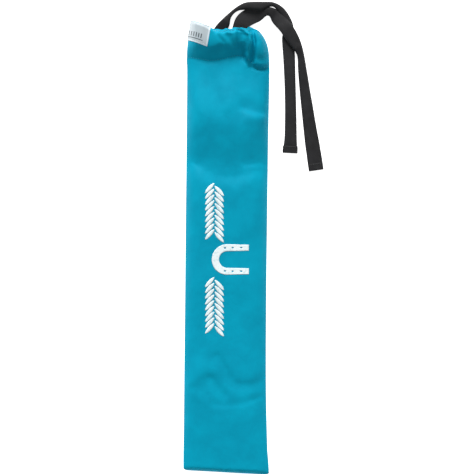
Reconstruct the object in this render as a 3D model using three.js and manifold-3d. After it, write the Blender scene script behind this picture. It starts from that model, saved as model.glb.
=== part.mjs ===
// A horse's tail bag: a long, narrow nylon bag that a braided tail goes into. Its mouth has a
// casing with a flat tie drawn through it, and the two ends of the tie come out of the casing's
// inner wall, lie in a bend beside the bag and end in stitched folds.
//
// The bag lies on its back. In the bag's own frame X runs across it, Y from the bottom seam
// towards the mouth, and Z up from the surface that it lies on. Lengths are in millimetres.
// At the end the whole group moves so that its origin is the middle of the bag's base.

import * as THREE from "three";
import { mergeVertices } from "three/addons/utils/BufferGeometryUtils.js";
import Module from "manifold-3d";

// Driving dimensions of the bag
const BAG_WIDTH = 140;
const BODY_LENGTH = 696; // from the bottom seam to the casing's lower seam
const BODY_CROWN = 22; // how far the air inside lifts the front
const BOTTOM_TAPER = 80; // the front comes down to the bottom seam over this length
const ARCH_POWER = 2.6; // 2 is a parabola, and more is flatter on top and steeper at the sides

// Cloth, and the clearance between pieces that touch
const CLOTH = 0.6;
const CLEARANCE = 0.3;

// Overlocked seam allowances, which lie inside between the two panels
const SEAM_WIDTH = 8;
const SEAM_THICKNESS = 0.6;
const SEAM_INSET = 1; // from the bag's edge

// Casing round the mouth
const CASING_HEIGHT = 45;
const TURN_RADIUS = 3.5; // of the middle of the wall where it turns at each side

// Tie
const TIE_WIDTH = 24;
const TIE_THICKNESS = 1.2;
const TIE_FOLD = 13; // length of the fold at each end
const TIE_STEPS = 30;

// Slots in the casing's inner wall, where the ends of the tie come out
const SLOT_WIDTH = 4;
const SLOT_EASE = 1.5; // room for the tie at each end of the slot
const SLOT_LEFT_X = -12;
const SLOT_RIGHT_X = 20;

// Label, which wraps round the left side of the casing
const LABEL_FRONT = 35;
const LABEL_BACK = 25;
const LABEL_HEIGHT = 33;
const LABEL_THICKNESS = 0.5;
const LABEL_STITCH_INSET = 2.5;

// Thread
const THREAD_WIDTH = 0.8;
const THREAD_HEIGHT = 0.4;
const LOWER_STITCH = 3; // above the casing's lower seam
const HEM_STITCH = 4; // below its top edge
const SLOT_STITCH_WIDTH = 2;
const TIE_STITCH_INSET = 2; // from the tie's sides

// Print on the front
const PRINT_THICKNESS = 0.3;
const BAND_WIDTH = 26;
const BAND_LENGTH = 100;
const BAND_X = -20;
const HORSESHOE_Y = 355;
const HORSESHOE_X = 5;
const HORSESHOE_RADIUS = 24; // of the outer edge
const HORSESHOE_WIDTH = 11;
const HORSESHOE_HEEL = 32; // length of each straight side
const BAND_GAP = 6; // between the horseshoe's edge and each band

// How the drawn tie pulls the casing out of square
const RIGHT_PULL = 0.36; // share by which its right half narrows at the top
const RIGHT_POWER = 2.6;
const LEFT_PULL = 0.09;
const LEFT_POWER = 2;
const LEFT_RISE = 11; // its left corner stands this much higher than its middle
const RISE_FROM_X = -28;
const RISE_TO_X = -62;
const RISE_OVER = 12; // the rise builds up over this height above the lower seam

// Where the middle of each end of the tie lies, from its slot to its tip. Y is measured from the
// casing's top edge.
const TIE_LEFT_ROUTE = [
  [-14, -22.5, 5.4],
  [-12.2, -11.5, 5.6],
  [-8.8, -1.5, 5.8],
  [-2.2, 8.5, 5],
  [7.5, 18.3, 2.8],
  [20, 26, 1.1],
  [33.5, 29.8, 0.75],
  [48, 30.8, 0.75],
  [62, 30.5, 0.75],
  [75, 27.8, 0.75],
  [86, 21.3, 0.75],
  [94, 11.5, 0.75],
  [99.2, -0.5, 0.75],
  [102.2, -13.5, 0.75],
  [103.7, -28, 0.75],
  [104.8, -47, 0.75],
  [106, -82, 0.75],
  [107, -118, 0.75],
  [107.6, -155, 0.75],
  [107.4, -187, 0.75],
  [106.4, -209.5, 0.75],
];
const TIE_RIGHT_ROUTE = [
  [19, -22.5, 5.4],
  [20, -12, 5.9],
  [22.8, -3, 7.1],
  [27.6, 6.6, 7.3],
  [36.3, 14.3, 6.2],
  [47.7, 18.8, 3.8],
  [59.3, 21.2, 2.4],
  [70.5, 20.3, 2.2],
  [80.5, 16.2, 2.2],
  [89, 9, 2.2],
  [97, -1.5, 2.2],
  [105, -14.5, 2.2],
  [112.5, -29.5, 2.2],
  [118.5, -46, 2.2],
  [123.8, -66, 2.2],
  [128.6, -90, 2.2],
  [132.4, -113, 2.2],
  [134.4, -127, 2.2],
  [137.2, -148, 1.9],
  [140, -168, 0.75],
  [142.8, -188.4, 0.75],
  [147.9, -221.7, 0.75],
  [150.3, -238.3, 0.75],
];

// Sizes that follow from those above
const BAG_LENGTH = BODY_LENGTH + CASING_HEIGHT;
const FRONT_BASE = CLOTH + CLEARANCE + SEAM_THICKNESS + CLEARANCE;
const WALL = 2 * CLOTH + 2 * CLEARANCE + TIE_THICKNESS; // the casing, with the tie inside it
const CASING_LIFT = LABEL_THICKNESS + CLEARANCE; // it lies on the label's back half
const BACK_Z = CASING_LIFT + WALL / 2;
const MOUTH_HEIGHT = FRONT_BASE + BODY_CROWN + CLOTH / 2 - BACK_Z; // from wall to wall
const TURN_X = BAG_WIDTH / 2 - TURN_RADIUS - WALL / 2;
const TURN_Z = BACK_Z + TURN_RADIUS;
const CASING_MIDDLE_Y = BODY_LENGTH + CASING_HEIGHT / 2;
const PANEL_SEGMENTS = [14, 26, 1]; // of the crowned front, and of the print that follows it

// The arc over the front touches both turns, and its top carries on from the front panel's.
const ARC_DROP =
  (TURN_X ** 2 + TURN_RADIUS ** 2 - (MOUTH_HEIGHT - TURN_RADIUS) ** 2) /
  (2 * (MOUTH_HEIGHT - 2 * TURN_RADIUS));
const ARC_RADIUS = MOUTH_HEIGHT + ARC_DROP;
const ARC_ANGLE = Math.atan2(TURN_RADIUS + ARC_DROP, TURN_X);

// The way round the casing's wall line, in millimetres from the middle of its back: its whole
// length, the stretches of its back and front halves and of the label, and where layers bend
const { clamp, smoothstep } = THREE.MathUtils;
const wallLine = makeWallLine();
const ROUND = wallLine.getLength();
const SIDE = TURN_X + (TURN_RADIUS * Math.PI) / 2; // the rightmost place on the line
const BACK_HALF = [-SIDE + CLEARANCE / 2, SIDE - CLEARANCE / 2];
const FRONT_HALF = [SIDE + CLEARANCE / 2, ROUND - SIDE - CLEARANCE / 2];
const LABEL_RANGE = [ROUND - SIDE - LABEL_FRONT, ROUND - SIDE + LABEL_BACK];
const TURN_END = TURN_X + TURN_RADIUS * (Math.PI / 2 + ARC_ANGLE);
const ROUND_STATIONS = [
  ...spaced(-TURN_END, -TURN_X, 6),
  ...spaced(-TURN_X, TURN_X, 10),
  ...spaced(TURN_X, TURN_END, 6),
  ...spaced(TURN_END, ROUND - TURN_END, 14),
  ...spaced(ROUND - TURN_END, ROUND - TURN_X, 6),
  ...spaced(ROUND - TURN_X, ROUND, 5),
];
const HEIGHT_STATIONS = spaced(BODY_LENGTH, BAG_LENGTH, 15);
const wasm = await Module();
wasm.setup();

const nylon = cloth(0x0899ba, 0.55);
const nylonInside = cloth(0x077f9e, 0.65);
const webbing = cloth(0x2b2b2e, 0.6);
const labelSatin = cloth(0xc4d2d8, 0.45);
const thread = cloth(0x0a88a8, 0.6);
const blackThread = cloth(0x19191b, 0.6);
const whiteThread = cloth(0xe4eaec, 0.6);
const ink = cloth(0xf1f6f6, 0.5);

function cloth(color, roughness) {
  return new THREE.MeshStandardMaterial({ color, roughness, metalness: 0 });
}

function named(name, geometry, material) {
  const mesh = new THREE.Mesh(geometry, material);
  mesh.name = name;
  return mesh;
}

// A closed geometry as a solid that can be joined and cut, and back again
function solidOf(geometry) {
  const bare = geometry.clone();
  bare.deleteAttribute("normal");
  bare.deleteAttribute("uv");
  const merged = mergeVertices(bare, 1e-3);
  return new wasm.Manifold(
    new wasm.Mesh({
      numProp: 3,
      vertProperties: merged.attributes.position.array,
      triVerts: new Uint32Array(merged.index.array),
    }),
  );
}

function geometryOf(solid) {
  const mesh = solid.getMesh();
  return new THREE.BufferGeometry()
    .setAttribute("position", new THREE.BufferAttribute(mesh.vertProperties, 3))
    .setIndex(new THREE.BufferAttribute(mesh.triVerts, 1));
}

// A box from its lowest corner, with a number of segments each way
function block(low, size, segments = [1, 1, 1]) {
  return new THREE.BoxGeometry(...size, ...segments).translate(
    low[0] + size[0] / 2,
    low[1] + size[1] / 2,
    low[2] + size[2] / 2,
  );
}

// Moves every vertex of a geometry by a function of its place
function bent(geometry, move) {
  const places = geometry.attributes.position;
  const at = new THREE.Vector3();
  for (let i = 0; i < places.count; i++) {
    at.fromBufferAttribute(places, i);
    move(at);
    places.setXYZ(i, at.x, at.y, at.z);
  }
  return geometry;
}

// Lifts what lies on the front by the front's crown there
function crowned(geometry) {
  return bent(geometry, (at) => {
    const across = 1 - Math.abs(at.x / (BAG_WIDTH / 2)) ** ARCH_POWER;
    const along = 1 - Math.max(0, 1 - at.y / BOTTOM_TAPER) ** ARCH_POWER;
    at.z += BODY_CROWN * across * along;
  });
}

// Draws in what belongs to the casing: its right half narrows most, and its left corner rises
function gathered(geometry) {
  return bent(geometry, (at) => {
    const up = clamp((at.y - BODY_LENGTH) / CASING_HEIGHT, 0, 1);
    const pull = at.x > 0 ? RIGHT_PULL * up ** RIGHT_POWER : LEFT_PULL * up ** LEFT_POWER;
    const side = clamp((at.x - RISE_FROM_X) / (RISE_TO_X - RISE_FROM_X), 0, 1);
    at.y += LEFT_RISE * side * smoothstep(at.y, BODY_LENGTH, BODY_LENGTH + RISE_OVER);
    at.x *= 1 - pull;
  });
}

// The line of the middle of the casing's wall, seen along Y. It starts at the middle of the
// back and goes towards +X: a flat back, a round turn at each side, and one wide arc over the front.
function makeWallLine() {
  const line = new THREE.Path();
  line.moveTo(0, BACK_Z);
  line.lineTo(TURN_X, BACK_Z);
  line.absarc(TURN_X, TURN_Z, TURN_RADIUS, -Math.PI / 2, ARC_ANGLE);
  line.absarc(0, BACK_Z - ARC_DROP, ARC_RADIUS, ARC_ANGLE, Math.PI - ARC_ANGLE);
  line.absarc(-TURN_X, TURN_Z, TURN_RADIUS, Math.PI - ARC_ANGLE, 1.5 * Math.PI);
  line.lineTo(0, BACK_Z);
  return line;
}

// Evenly spaced values from one number to another, without the last
function spaced(from, to, steps) {
  return Array.from({ length: steps }, (_, i) => from + ((to - from) * i) / steps);
}

// A range, with those of the stations that lie inside it
function divided(low, high, stations) {
  const apart = 1e-3;
  return [low, ...stations.filter((at) => at > low + apart && at < high - apart), high];
}

// A layer of the casing: part of the way round its wall line, over a range of Y and a range of
// distances outside that line, drawn in with the casing. Every layer bends at the same stations,
// so layers stay clear of each other.
function layer([from, to], [bottom, top], [inside, outside]) {
  const rounds = divided(from, to, ROUND_STATIONS);
  const heights = divided(bottom, top, HEIGHT_STATIONS);
  const steps = [rounds.length - 1, heights.length - 1, 1];
  const wrapped = bent(block([0, 0, 0], steps, steps), (at) => {
    const share = THREE.MathUtils.euclideanModulo(rounds[Math.round(at.x)] / ROUND, 1);
    const middle = wallLine.getPoint(share);
    const heading = wallLine.getTangent(share);
    const offset = at.z > 0.5 ? outside : inside;
    at.y = heights[Math.round(at.y)];
    at.x = middle.x + heading.y * offset;
    at.z = middle.y - heading.x * offset;
  });
  // the wall line runs against X times Y, so the layer comes out as its mirror image
  const index = wrapped.index.array;
  for (let i = 0; i < index.length; i += 3)
    [index[i + 1], index[i + 2]] = [index[i + 2], index[i + 1]];
  return solidOf(gathered(wrapped));
}

function makePanels() {
  const front = block(
    [-BAG_WIDTH / 2, 0, FRONT_BASE],
    [BAG_WIDTH, BODY_LENGTH, CLOTH],
    PANEL_SEGMENTS,
  );
  const back = block([-BAG_WIDTH / 2, 0, 0], [BAG_WIDTH, BODY_LENGTH, CLOTH], [2, 4, 1]);
  return [
    named("front_panel", crowned(front), nylon),
    named("back_panel", back, nylon),
  ];
}

function makeSeams() {
  const z = CLOTH + CLEARANCE;
  const sideBottom = SEAM_INSET + SEAM_WIDTH + CLEARANCE;
  const side = [SEAM_WIDTH, BODY_LENGTH - SEAM_INSET - sideBottom, SEAM_THICKNESS];
  const leftX = -BAG_WIDTH / 2 + SEAM_INSET;
  const rightX = BAG_WIDTH / 2 - SEAM_INSET - SEAM_WIDTH;
  const bottom = [BAG_WIDTH - 2 * SEAM_INSET, SEAM_WIDTH, SEAM_THICKNESS];
  return [
    named("side_seam_left", block([leftX, sideBottom, z], side), nylonInside),
    named("side_seam_right", block([rightX, sideBottom, z], side), nylonInside),
    named("bottom_seam", block([leftX, SEAM_INSET, z], bottom), nylonInside),
  ];
}

// The casing is a tunnel: two walls of cloth closed by the fold at the top and the lower seam.
// Its front and back halves meet at the sides, and the ends of the tie come out of two slots.
function makeCasing() {
  const heights = [BODY_LENGTH + CLEARANCE, BAG_LENGTH];
  const tunnel = [BODY_LENGTH + CLEARANCE + CLOTH, BAG_LENGTH - CLOTH];
  const wall = [-WALL / 2, WALL / 2];
  const hollow = [CLOTH - WALL / 2, WALL / 2 - CLOTH];
  const half = ([from, to]) =>
    layer([from, to], heights, wall).subtract(
      layer([from - CLOTH, to + CLOTH], tunnel, hollow),
    );
  const slot = (x) => layer(slotRange(x, 0), slotHeights(0), [-WALL, 0]);
  const back = half(BACK_HALF).subtract(slot(SLOT_LEFT_X)).subtract(slot(SLOT_RIGHT_X));
  return [
    named("casing_front", geometryOf(half(FRONT_HALF)), nylon),
    named("casing_back", geometryOf(back), nylon),
  ];
}

// The size of a slot, grown by a margin all round
function slotRange(x, margin) {
  return [x - SLOT_WIDTH / 2 - margin, x + SLOT_WIDTH / 2 + margin];
}

function slotHeights(margin) {
  const reach = TIE_WIDTH / 2 + SLOT_EASE + margin;
  return [CASING_MIDDLE_Y - reach, CASING_MIDDLE_Y + reach];
}

// The middle of the tie, which runs round inside the casing and turns out through both slots
function makeDrawstring() {
  const halfThickness = TIE_THICKNESS / 2;
  const heights = [CASING_MIDDLE_Y - TIE_WIDTH / 2, CASING_MIDDLE_Y + TIE_WIDTH / 2];
  const held = layer(
    [SLOT_RIGHT_X - halfThickness, ROUND + SLOT_LEFT_X + halfThickness],
    heights,
    [-halfThickness, halfThickness],
  );
  const outTop = WALL / 2 + CLEARANCE + THREAD_HEIGHT; // level with the slot's stitches
  const turnOut = (x) => layer([x - halfThickness, x + halfThickness], heights, [-outTop, 0]);
  const whole = held.add(turnOut(SLOT_LEFT_X)).add(turnOut(SLOT_RIGHT_X));
  return named("drawstring_in_casing", geometryOf(whole), webbing);
}

// Rows of stitches round the casing: outside on its front half, inside on its back half
function makeCasingStitches() {
  const outside = [WALL / 2 + CLEARANCE, WALL / 2 + CLEARANCE + THREAD_HEIGHT];
  const inside = [-outside[1], -outside[0]];
  const row = (half, y, offsets) => geometryOf(layer(half, [y, y + THREAD_WIDTH], offsets));
  const low = BODY_LENGTH + LOWER_STITCH;
  const high = BAG_LENGTH - HEM_STITCH;
  const besideLabel = [FRONT_HALF[0], LABEL_RANGE[0] - CLEARANCE];
  return [
    named("casing_stitch_front", row(FRONT_HALF, low, outside), thread),
    named("casing_stitch_back", row(BACK_HALF, low, inside), thread),
    named("hem_stitch_front", row(besideLabel, high, outside), thread),
    named("hem_stitch_back", row(BACK_HALF, high, inside), thread),
  ];
}

function makeLabel() {
  const under = WALL / 2 + CLEARANCE;
  const over = under + LABEL_THICKNESS;
  const heights = [BAG_LENGTH - LABEL_HEIGHT, BAG_LENGTH];
  const label = layer(LABEL_RANGE, heights, [under, over]);

  const frame = (inset, margin) =>
    layer(
      [LABEL_RANGE[0] + inset, LABEL_RANGE[0] + LABEL_FRONT - inset],
      [heights[0] + inset, heights[1] - inset],
      [over + CLEARANCE - margin, over + CLEARANCE + THREAD_HEIGHT + margin],
    );
  const stitch = frame(LABEL_STITCH_INSET, 0).subtract(
    frame(LABEL_STITCH_INSET + THREAD_WIDTH, CLEARANCE),
  );
  return [
    named("woven_label", geometryOf(label), labelSatin),
    named("label_stitch", geometryOf(stitch), whiteThread),
  ];
}

// A stitched border round each slot, inside the mouth
function makeSlotStitches() {
  const near = WALL / 2 + CLEARANCE;
  const border = (x, margin, extra) =>
    layer(slotRange(x, margin), slotHeights(margin), [
      -near - THREAD_HEIGHT - extra,
      -near + extra,
    ]);
  return Object.entries({ left: SLOT_LEFT_X, right: SLOT_RIGHT_X }).map(([side, x]) => {
    const outer = border(x, CLEARANCE + SLOT_STITCH_WIDTH, 0);
    const ring = outer.subtract(border(x, CLEARANCE, CLEARANCE));
    return named(`slot_stitch_${side}`, geometryOf(ring), thread);
  });
}

// A flat strip along a route: it stays level from side to side, and climbs and falls with it
function strip(path, width, thickness, steps) {
  const length = path.getLength();
  const straight = block([0, -width / 2, -thickness / 2], [length, width, thickness], [steps, 1, 1]);
  return bent(straight, (at) => {
    const share = clamp(at.x / length, 0, 1);
    const heading = path.getTangentAt(share);
    const side = new THREE.Vector3(-heading.y, heading.x, 0).normalize();
    const up = heading.clone().cross(side);
    at.copy(path.getPointAt(share).addScaledVector(side, at.y).addScaledVector(up, at.z));
  });
}

// One free end of the tie, lying flat, with its tip folded over and stitched
function makeTie(side, route) {
  const points = route.map(([x, y, z]) => new THREE.Vector3(x, BAG_LENGTH + y, z));
  const path = new THREE.CatmullRomCurve3(points, false, "centripetal");

  const tip = points.at(-1);
  const heading = path.getTangent(1);
  const end = new THREE.Group();
  end.position.set(tip.x, tip.y, tip.z + TIE_THICKNESS / 2);
  end.rotation.z = Math.atan2(heading.y, heading.x) + Math.PI / 2;
  const stitchWidth = TIE_WIDTH - 2 * TIE_STITCH_INSET;
  end.add(
    named(
      `tie_${side}_end_fold`,
      block([-TIE_WIDTH / 2, 0, CLEARANCE], [TIE_WIDTH, TIE_FOLD, TIE_THICKNESS]),
      webbing,
    ),
    named(
      `tie_${side}_end_stitch`,
      block(
        [-stitchWidth / 2, TIE_FOLD - 2 * THREAD_WIDTH, 2 * CLEARANCE + TIE_THICKNESS],
        [stitchWidth, THREAD_WIDTH, THREAD_HEIGHT],
      ),
      blackThread,
    ),
  );
  return [
    named(`tie_${side}`, strip(path, TIE_WIDTH, TIE_THICKNESS, TIE_STEPS), webbing),
    end,
  ];
}

// The print: a horseshoe, open to the right, between two bands that run along the bag. All
// three are cut out of one thin film that has the front panel's own shape.
function makePrint() {
  const filmZ = FRONT_BASE + CLOTH + CLEARANCE;
  const film = solidOf(
    crowned(
      block([-BAG_WIDTH / 2, 0, filmZ], [BAG_WIDTH, BODY_LENGTH, PRINT_THICKNESS], PANEL_SEGMENTS),
    ),
  );
  const depth = FRONT_BASE + 2 * BODY_CROWN;

  const inner = HORSESHOE_RADIUS - HORSESHOE_WIDTH;
  const outline = new THREE.Shape();
  outline.absarc(0, 0, HORSESHOE_RADIUS, Math.PI / 2, 1.5 * Math.PI, false);
  outline.lineTo(HORSESHOE_HEEL, -HORSESHOE_RADIUS);
  outline.lineTo(HORSESHOE_HEEL, -inner);
  outline.absarc(0, 0, inner, 1.5 * Math.PI, Math.PI / 2, true);
  outline.lineTo(HORSESHOE_HEEL, inner);
  outline.lineTo(HORSESHOE_HEEL, HORSESHOE_RADIUS);
  const shoe = new THREE.ExtrudeGeometry(outline, {
    depth,
    bevelEnabled: false,
    curveSegments: 10,
  }).translate(HORSESHOE_X, HORSESHOE_Y, 0);

  const bandOffset = HORSESHOE_RADIUS + BAND_GAP;
  const band = (y) => block([BAND_X - BAND_WIDTH / 2, y, 0], [BAND_WIDTH, BAND_LENGTH, depth]);
  const marks = {
    print_horseshoe: shoe,
    print_band_upper: band(HORSESHOE_Y + bandOffset),
    print_band_lower: band(HORSESHOE_Y - bandOffset - BAND_LENGTH),
  };
  return Object.entries(marks).map(([name, mark]) =>
    named(name, geometryOf(film.intersect(solidOf(mark))), ink),
  );
}

const bag = new THREE.Group();
bag.add(
  ...makePanels(),
  ...makeSeams(),
  ...makeCasing(),
  makeDrawstring(),
  ...makeCasingStitches(),
  ...makeLabel(),
  ...makeSlotStitches(),
  ...makePrint(),
);
const box = new THREE.Box3().setFromObject(bag);

const root = new THREE.Group();
root.add(bag, ...makeTie("left", TIE_LEFT_ROUTE), ...makeTie("right", TIE_RIGHT_ROUTE));
root.position.set(-(box.min.x + box.max.x) / 2, -(box.min.y + box.max.y) / 2, -box.min.z);

export default root;
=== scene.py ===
"""A horse's tail bag: a long nylon bag lying on its back, with its draw tie lying beside it.

The bag is one lofted shell: back, front, and the casing that turns in round the mouth. Its front
is a height field, so whatever is sewn or printed on it asks front_height() where the cloth is.
Shapes are worked out in millimetres, in the frame's axes, and meshes are made in metres.
"""

import math

import bpy
import numpy as np
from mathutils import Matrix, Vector, noise


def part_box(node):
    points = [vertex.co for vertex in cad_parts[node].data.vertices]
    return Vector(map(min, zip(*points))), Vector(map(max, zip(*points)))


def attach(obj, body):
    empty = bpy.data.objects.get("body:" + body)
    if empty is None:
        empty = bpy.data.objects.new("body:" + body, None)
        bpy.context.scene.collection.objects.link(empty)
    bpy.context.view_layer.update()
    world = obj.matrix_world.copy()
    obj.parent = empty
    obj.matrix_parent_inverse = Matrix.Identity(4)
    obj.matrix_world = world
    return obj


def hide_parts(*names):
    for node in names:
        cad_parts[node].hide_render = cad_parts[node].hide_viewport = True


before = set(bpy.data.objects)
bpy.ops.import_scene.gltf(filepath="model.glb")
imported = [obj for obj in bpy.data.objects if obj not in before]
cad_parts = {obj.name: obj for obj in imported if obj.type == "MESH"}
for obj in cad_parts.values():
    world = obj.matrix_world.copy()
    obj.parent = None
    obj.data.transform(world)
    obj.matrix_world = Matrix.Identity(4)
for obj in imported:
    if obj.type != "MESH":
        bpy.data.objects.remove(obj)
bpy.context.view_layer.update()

MM = 0.001

# The bag's own sizes, from the frame
PANEL_LOW, PANEL_HIGH = (np.array(corner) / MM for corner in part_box("back_panel"))
HALF_WIDTH = PANEL_HIGH[0]
BOTTOM_Y = PANEL_LOW[1]
SEAM_Y = PANEL_HIGH[1]
CASING_HEIGHT = 45
MOUTH_Y = SEAM_Y + CASING_HEIGHT

# Tie
TIE_WIDTH = 24
TIE_THICKNESS = 1.1
TIE_FOLD = 13
TIE_FOLD_GAP = 0.2  # between the turned tip and the tape under it
TIE_REST = 0.75  # height of the tape's middle where it lies on the table
TAPE_COLUMNS = 19
PATH_STEP = 2.0
CURVE_STEP = 0.5  # of the curve that the even steps are measured along
ARCH_START = 0.05  # how high a flat tape's section stands
ARCH_RATE = 0.62  # how much higher it stands for each millimetre that it is pushed together
ARCH_LIMIT = 6.2  # where more than this would stand up, the tape is doubled over on itself
ARCH_SQUARENESS = 0.6  # of the tape's section: 1 is an ellipse, less is flatter on top
# The middle of each end of the tie, from its slot to its tip: x and z, and y from the mouth's edge
TIE_LEFT_ROUTE = [
    (-0.014, -0.0225, 0.0054), (-0.0122, -0.0115, 0.0056), (-0.0088, -0.0015, 0.0058),
    (-0.0022, 0.0085, 0.005), (0.0075, 0.0183, 0.0028), (0.02, 0.026, 0.0011),
    (0.0335, 0.0298, 0.00075), (0.048, 0.0308, 0.00075), (0.062, 0.0305, 0.00075),
    (0.075, 0.0278, 0.00075), (0.086, 0.0213, 0.00075), (0.094, 0.0115, 0.00075),
    (0.0992, -0.0005, 0.00075), (0.1022, -0.0135, 0.00075), (0.1037, -0.028, 0.00075),
    (0.1048, -0.047, 0.00075), (0.106, -0.082, 0.00075), (0.107, -0.118, 0.00075),
    (0.1076, -0.155, 0.00075), (0.1074, -0.187, 0.00075), (0.1064, -0.2095, 0.00075),
]
TIE_RIGHT_ROUTE = [
    (0.019, -0.0225, 0.0054), (0.02, -0.012, 0.0059), (0.0228, -0.003, 0.0071),
    (0.0276, 0.0066, 0.0073), (0.0363, 0.0143, 0.0062), (0.0477, 0.0188, 0.0038),
    (0.0593, 0.0212, 0.0024), (0.0705, 0.0203, 0.0022), (0.0805, 0.0162, 0.0022),
    (0.089, 0.009, 0.0022), (0.097, -0.0015, 0.0022), (0.105, -0.0145, 0.0022),
    (0.1125, -0.0295, 0.0022), (0.1185, -0.046, 0.0022), (0.1238, -0.066, 0.0022),
    (0.1286, -0.09, 0.0022), (0.1324, -0.113, 0.0022), (0.1344, -0.127, 0.0022),
    (0.1372, -0.148, 0.0019), (0.14, -0.168, 0.00075), (0.1428, -0.1884, 0.00075),
    (0.1479, -0.2217, 0.00075), (0.1503, -0.2383, 0.00075),
]

# How far the tape shows to the left and to the right of each point of its route. Where that is
# less than its width, its edges turn down.
TIE_LEFT_REACH = [
    (11, 11), (11, 11), (8.6, 11.5), (6.2, 10), (5.6, 2.2), (7.9, -1.2), (11, 1.2), (11.4, 2.6),
    (11.7, 2.2), (14, -7), (14.6, -3.5), (13.7, -2.5), (13.4, 1), (10.2, 8.6), (10.2, 10.2),
    (10.1, 9.9), (9.7, 9.2), (9.6, 9.1), (9.9, 9.6), (10.7, 10.4), (12.4, 12.2),
]
TIE_RIGHT_REACH = [
    (11, 11), (11, 11), (12.5, 12), (14.5, 13), (15.6, 13.4), (13.6, 12.2), (12.4, 8.6),
    (13.6, 0.9), (13.6, 7.8), (12, 9.8), (13, 9), (13.3, 8.2), (12.8, 5.1), (11.4, 0.6),
    (9.7, 4.3), (8.9, 7.5), (8.8, 9.2), (9.4, 9.8), (10.1, 10.5), (10.8, 11.2), (11.9, 11.9),
    (12.9, 12.9), (12.9, 12.9),
]
# Tilt of the tape, and how far its resting edge lies over or under the route's height
TIE_LEFT_LEAN = [0, 0, 0, 0.1, 0.15, 0, -0.12, -0.1, -0.1, -0.1, 0, 0.05] + [-0.06] * 7 + [0] * 2
TIE_RIGHT_LEAN = [0, 0, 0, 0, 0, 0.08, 0.1, 0.1, 0, 0, 0.08, 0.12, 0.1] + [0.14] * 8 + [0.05] * 2
TIE_LEFT_LIFT = [0, 0, 0, 0, 0, 0.6, 2.6, 3, 2.6, 1.6, 0.4] + [0] * 10
TIE_RIGHT_LIFT = [0, 0, 0, 0, -2, -2, -1.2, -0.9, 0.8, 3.5, 6.2, 6.8, 4.5, 1] + [0] * 9
TIP_STITCH = 2.2
TIP_PITCH = 3.2
TIP_MARGIN = 1.5  # from the tape's edges to the row

# Outlines of the bag as it lies, seen from above: (y, x) down each side, (x share, y) at the ends
LEFT_SIDE = [(-382, -71), (-355, -71.1), (-300, -70.3), (-240, -69.8), (-107, -68.4), (27, -67.2),
             (160, -65.8), (285, -64.8), (330, -64.6), (348, -62.6), (377, -57.5)]
RIGHT_SIDE = [(-382, 71.6), (-368, 71.2), (-340, 69.1), (-300, 67.9), (-265, 67.1), (-107, 66.9),
              (27, 68.3), (127, 69.6), (193, 70.5), (227, 71.3), (295, 72.1), (312, 71.9),
              (325, 70.9), (338, 67.8), (349, 62.6), (357, 56.4), (363, 49.8), (369, 44)]
MOUTH_EDGE = [(-1, 374.5), (-0.62, 368), (-0.33, 360.2), (-0.08, 358.6), (0.1, 359.2),
              (0.33, 360.7), (0.47, 361.6), (0.63, 359.2), (0.78, 362.8), (0.89, 361.8), (1, 357)]
CASING_SEAM = [(-1, 314), (-0.7, 311), (-0.4, 308), (-0.1, 311), (0.2, 316), (0.42, 313.5),
               (0.58, 304), (0.72, 298), (0.88, 296), (1, 298)]
BOTTOM_OUT = 0.5  # how far the cloth bulges past the bottom seam
BOTTOM_SLANT = 4  # each way from the middle
BOTTOM_CORNER = 3  # how much its corners are cut back
CORNER_POWER = 30  # the higher, the smaller the rounded corner
SCALLOP = 0.9  # of the mouth's edge
SCALLOP_TURNS = 24
SCALLOP_SPAN = (-0.45, 0)  # across the mouth, over which the scallops come in

# The cloth's heights above the table
FRONT_BASE = 0.9
LEAST_FRONT = 0.7
BACK_BASE = 0.35
CROWN = 17
FOOT_CROWN = 11.5  # flatter towards the bottom
CROWN_SPAN = (-140, 120)  # over which the crown changes from one to the other
CROWN_POWER = 7
FOLD_FADE_POWER = 8  # the higher, the nearer the folds run to the sides
CRUMPLE_FADE_POWER = 6
BOTTOM_ROUNDING = 9  # the cloth comes up sharply at the bottom seam, and then slowly
ROUNDING_POWER = 2.6
BOTTOM_RISE = 110
BOTTOM_SHARE = 0.7  # of the height that the sharp rise gives
CASING_LIFT = 0.9
CASING_LIFT_RUN = 25  # below the seam, over which the back lifts
CASING_SIDE_LIFT = 2.4
CASING_START = (-4, 10)  # from the seam, where the sides lift
CASING_BULGE = 8
# Shares of the way from the seam to the mouth, at the left and at the right: where the casing's
# swell is at its highest, and where it starts to fall
SWELL_TOP = (0.42, 0.72)
SWELL_FALL = (0.93, 0.83)
SWELL_END = 1.02
SWELL_CHANGE = (-0.5, 0.1)  # across the bag, from the left values to the right ones
SEAM_VALLEY = 8.5  # where the casing's seam draws the front in
SEAM_VALLEY_BELOW = 52
SEAM_VALLEY_ABOVE = 20
SEAM_GROOVE = 1.1  # right at the stitches
SEAM_GROOVE_WIDTH = 3
GATHER = 1.1
GATHER_REACH = 15  # down from the mouth's edge
TIGHT_GATHER = 1.25  # each gather takes 2 pi times this
TIGHT_GATHER_DRIFT = (1.5, 9)  # how far they stray from even spacing, and over what length
TIGHT_GATHER_SPAN = (-30, 30)  # across the bag, over which they come in
LOOSE_GATHER = 2.1
LOOSE_GATHER_SHARE = 0.6
HEM_INSET = 2.6  # from the casing's outer wall to its inner one
HEM_TAPER = 0.6  # share of the inset that the hem loses at its foot
HEM_END = 2  # above the casing's seam
LEAST_GAP = 0.15  # from the middle of the bag's thickness to its inner walls
CLOTH = 0.4
# Random unevenness: height, length across and along the bag, and which layer of noise
CRUMPLES = [(0.75, 26, 40, 3.1), (0.28, 9, 13, 7.7)]

# How finely the shell is drawn
ACROSS = 72
BODY_ROWS = 230
CASING_ROWS = 44
LIP_ROWS = 4
HEM_ROWS = 22
SIDE_CROWDING = 0.35  # how much closer together its columns are at the sides

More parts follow.
